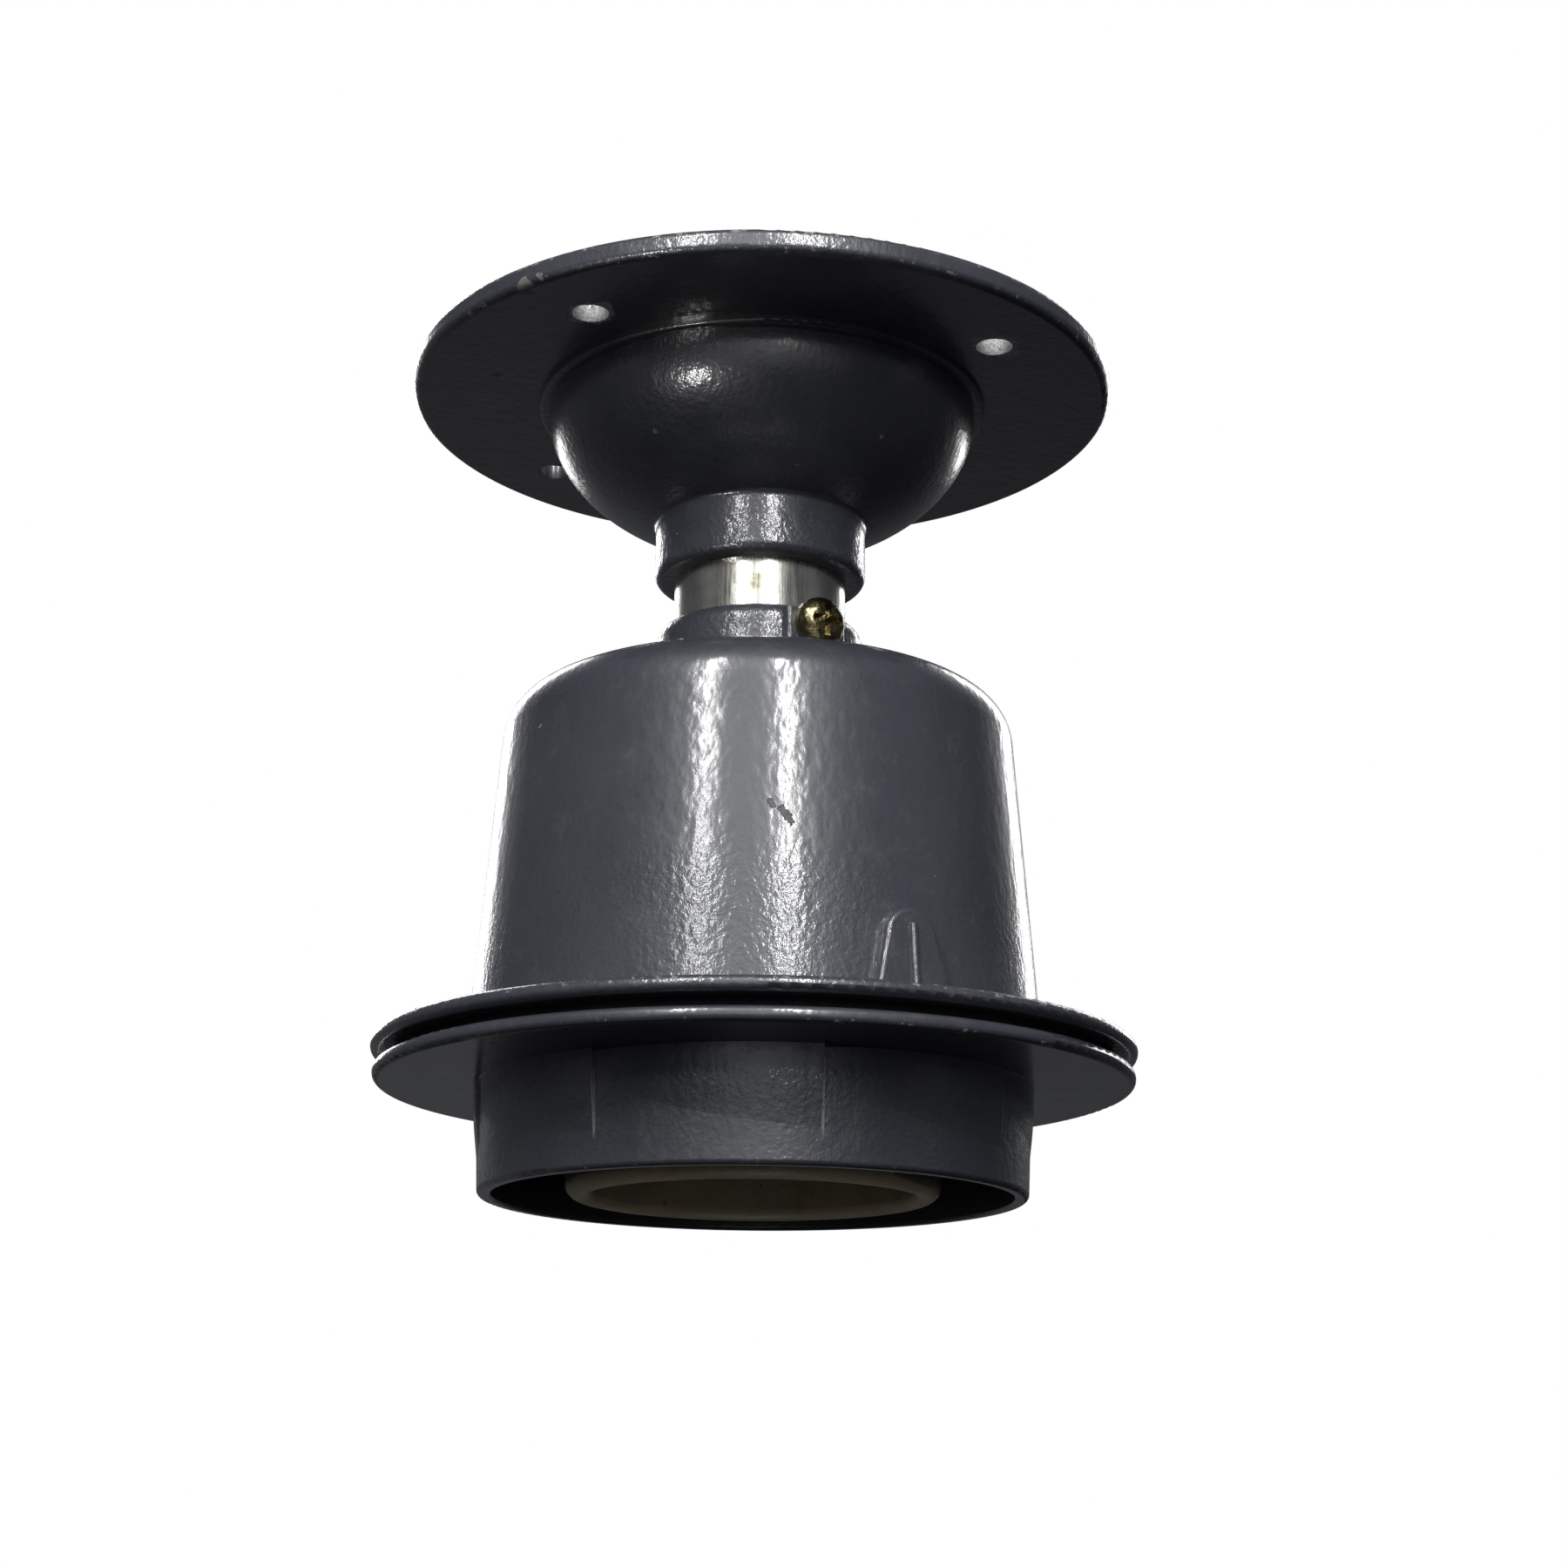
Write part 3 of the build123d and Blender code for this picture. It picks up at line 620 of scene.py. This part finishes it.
def add_camera():
    data = bpy.data.cameras.new("camera")
    data.lens = camera_lens
    data.sensor_width = camera_sensor
    camera = bpy.data.objects.new("camera", data)
    camera.location = (0, -camera_distance, camera_height)
    turn = Euler((radians(90 + camera_pitch), 0, radians(camera_yaw))).to_matrix()
    roll = Euler((0, 0, radians(camera_roll))).to_matrix()
    camera.rotation_euler = (turn @ roll).to_euler()
    data.clip_start = camera_near
    bpy.context.scene.collection.objects.link(camera)
    bpy.context.scene.camera = camera


def hang(data, place, target):
    """Puts a lamp at a place, facing a target."""
    lamp = bpy.data.objects.new(data.name, data)
    lamp.location = place
    lamp.rotation_euler = (target - place).to_track_quat("-Z", "Y").to_euler()
    bpy.context.scene.collection.objects.link(lamp)
    return lamp


def area_light(name, bearing, low, high, width, power):
    """A flat lamp that spans two elevations, seen from the middle of the object."""
    middle = Vector((0, 0, object_middle))
    aim = radians((low + high) / 2)
    place = middle + bearing_point(bearing, light_distance * cos(aim), light_distance * sin(aim))
    data = bpy.data.lights.new(name, "AREA")
    data.shape = "RECTANGLE"
    data.size = width
    data.size_y = light_distance * radians(high - low)
    data.energy = power
    return hang(data, place, middle)


class RoomNodes:
    """The world's node tree, which reads the direction a ray leaves in."""

    def __init__(self, world):
        self.tree = world.node_tree
        self.direction = self.tree.nodes.new("ShaderNodeTexCoord").outputs["Generated"]

    def link(self, value, socket):
        if isinstance(value, bpy.types.NodeSocket):
            self.tree.links.new(value, socket)
        else:
            socket.default_value = value

    def math(self, operation, a, b):
        node = self.tree.nodes.new("ShaderNodeMath")
        node.operation = operation
        self.link(a, node.inputs[0])
        self.link(b, node.inputs[1])
        return node.outputs[0]

    def toward(self, bearing, elevation):
        """How directly a ray leaves towards a bearing and an elevation, from 0 to 1."""
        node = self.tree.nodes.new("ShaderNodeVectorMath")
        node.operation = "DOT_PRODUCT"
        self.link(self.direction, node.inputs[0])
        tilt = radians(elevation)
        node.inputs[1].default_value = bearing_point(bearing, cos(tilt), sin(tilt))
        return self.math("MAXIMUM", node.outputs["Value"], 0.0)

    def glow(self, bearing, elevation, sharpness, brightness):
        spread = self.math("POWER", self.toward(bearing, elevation), sharpness)
        return self.math("MULTIPLY", spread, brightness)


def add_world():
    """A dim room with soft glows in front and at the sides: nearly black below, paler above."""
    world = bpy.data.worlds.new("soft_room")
    world.use_nodes = True
    room = RoomNodes(world)
    tree = room.tree
    split = tree.nodes.new("ShaderNodeSeparateXYZ")
    tree.links.new(room.direction, split.inputs[0])
    ramp = tree.nodes.new("ShaderNodeValToRGB")
    while len(ramp.color_ramp.elements) < len(room_stops):
        ramp.color_ramp.elements.new(0.5)
    for element, (position, colour) in zip(ramp.color_ramp.elements, room_stops):
        element.position = position
        element.color = (*colour, 1.0)
    rise = tree.nodes.new("ShaderNodeMapRange")
    rise.inputs["From Min"].default_value = -1.0
    tree.links.new(split.outputs["Z"], rise.inputs["Value"])
    tree.links.new(rise.outputs["Result"], ramp.inputs["Fac"])
    tree.links.new(ramp.outputs["Color"], tree.nodes["Background"].inputs["Color"])
    extra = room.math("ADD", room.glow(*front_glow), room.glow(*low_glow))
    for spot in room_glows:
        extra = room.math("ADD", extra, room.glow(*spot))
    glow = tree.nodes.new("ShaderNodeBackground")
    glow.inputs["Color"].default_value = glow_colour
    tree.links.new(extra, glow.inputs["Strength"])
    both = tree.nodes.new("ShaderNodeAddShader")
    tree.links.new(tree.nodes["Background"].outputs[0], both.inputs[0])
    tree.links.new(glow.outputs[0], both.inputs[1])
    tree.links.new(both.outputs[0], tree.nodes["World Output"].inputs["Surface"])
    bpy.context.scene.world = world


def light_only(lamp, pieces):
    """Lets a lamp reach some pieces and no others."""
    receivers = bpy.data.collections.new(lamp.name + "_receivers")
    for piece in pieces:
        receivers.objects.link(piece)
    lamp.light_linking.receiver_collection = receivers


def add_small_lamps():
    """A glint on the canopy's dome, and a dim narrow lamp below that reaches into the lampholder."""
    glint = area_light(*dome_lamp)
    glint.visible_diffuse = False
    light_only(glint, [frame["nodes"]["ceiling_canopy"]])
    data = bpy.data.lights.new("mouth_lamp", "AREA")
    data.shape = "DISK"
    data.size = mouth_lamp_size
    data.spread = mouth_lamp_spread
    data.energy = mouth_lamp_power
    hang(data, Vector(mouth_lamp_place), Vector((0, 0, mouth_height)))


def add_lights():
    for strip in tall_strips:
        area_light(*strip)
    for lamp in back_lamps:
        area_light(*lamp)
    add_small_lamps()
    for fill in side_fills:
        area_light(*fill).visible_glossy = False
    add_world()


def unlit_by(obj):
    """Seen by the camera only, so that the pale stage adds no light to the dark finish."""
    for ray in ("diffuse", "glossy", "transmission", "volume_scatter", "shadow"):
        setattr(obj, "visible_" + ray, False)


def glowing(name, colour):
    material = bpy.data.materials.new(name)
    material.use_nodes = True
    tree = material.node_tree
    emission = tree.nodes.new("ShaderNodeEmission")
    emission.inputs["Color"].default_value = (*colour, 1.0)
    tree.links.new(emission.outputs[0], tree.nodes["Material Output"].inputs["Surface"])
    return material


def add_stage():
    """A pale floor below the lamp head and a white room behind everything."""
    bpy.ops.mesh.primitive_plane_add(size=floor_size, location=(0, 0, floor_height))
    floor = bpy.context.object
    floor.name = "floor"
    floor.data.materials.append(glowing("pale_floor", floor_white))
    unlit_by(floor)
    bpy.ops.mesh.primitive_uv_sphere_add(radius=room_radius, segments=48, ring_count=24)
    room = bpy.context.object
    room.name = "white_room"
    room.data.materials.append(glowing("white_room", room_white))
    unlit_by(room)


add_camera()
add_stage()
dress_cad_nodes()
add_lamp_shell()
add_contact_coil()
add_lights()
bpy.context.scene.view_settings.view_transform = "Standard"
